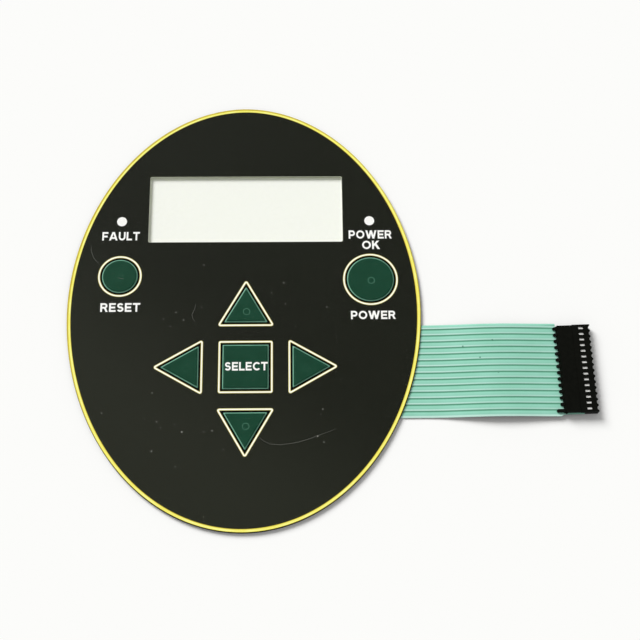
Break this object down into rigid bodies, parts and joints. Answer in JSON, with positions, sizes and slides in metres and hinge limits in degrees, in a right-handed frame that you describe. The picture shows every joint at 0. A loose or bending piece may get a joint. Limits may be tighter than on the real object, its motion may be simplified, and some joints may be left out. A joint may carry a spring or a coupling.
{
  "type": "membrane keypad",
  "caption": "Oval membrane keypad with a clear display window, embossed round, square and arrow keys, status light windows, and a ribbed flex tail ending in a moulded socket connector.",
  "frame": {"origin": "middle of the oval face, on its rear surface, which lies on the floor", "axes": "+X from the middle of the face out along the tail, +Y to the top of the legends, +Z out of the printed front"},
  "size_m": [0.2254, 0.1936, 0.0036],
  "materials": {
    "liner_paper": "coated paper",
    "adhesive": "clear acrylic adhesive seen over white",
    "polyester": "translucent polyester film",
    "clear_film": "clear polyester with a fine satin texture",
    "green_coat": "pale green protective coat, smooth",
    "spring_steel": "rolled stainless spring steel",
    "light_lens": "clear moulded lens",
    "black_ink": "screen-printed black ink",
    "yellow_ink": "screen-printed yellow ink",
    "white_ink": "screen-printed translucent white ink",
    "cream_ink": "screen-printed cream ink",
    "green_ink": "screen-printed dark green ink",
    "black_nylon": "moulded black glass-filled nylon",
    "tinned_brass": "tin-plated brass"
  },
  "bodies": {
    "root": {"release_liner": "liner_paper", "rear_adhesive": "adhesive", "overlay_adhesive": "adhesive", "circuit_film": "polyester", "circuit_spacer": "polyester", "dome_retainer": "clear_film", "graphic_overlay": "clear_film", "tail_cover_coat": "green_coat", "dome_power": "spring_steel", "dome_reset": "spring_steel", "dome_select": "spring_steel", "dome_up": "spring_steel", "dome_down": "spring_steel", "dome_left": "spring_steel", "dome_right": "spring_steel", "light_fault": "light_lens", "light_power": "light_lens", "background_print": "black_ink", "border_print": "yellow_ink", "light_window_fault": "white_ink", "light_window_power": "white_ink", "key_outline_power": "cream_ink", "key_outline_reset": "cream_ink", "key_outline_select": "cream_ink", "key_outline_up": "cream_ink", "key_outline_down": "cream_ink", "key_outline_left": "cream_ink", "key_outline_right": "cream_ink", "key_print_power": "green_ink", "key_print_reset": "green_ink", "key_print_select": "green_ink", "key_print_up": "green_ink", "key_print_down": "green_ink", "key_print_left": "green_ink", "key_print_right": "green_ink", "connector_housing": "black_nylon", "connector_cover": "black_nylon", "contact_01": "tinned_brass", "contact_02": "tinned_brass", "contact_03": "tinned_brass", "contact_04": "tinned_brass", "contact_05": "tinned_brass", "contact_06": "tinned_brass", "contact_07": "tinned_brass", "contact_08": "tinned_brass", "contact_09": "tinned_brass", "contact_10": "tinned_brass", "contact_11": "tinned_brass", "contact_12": "tinned_brass", "contact_13": "tinned_brass", "contact_14": "tinned_brass", "contact_15": "tinned_brass"}
  },
  "joints": []
}
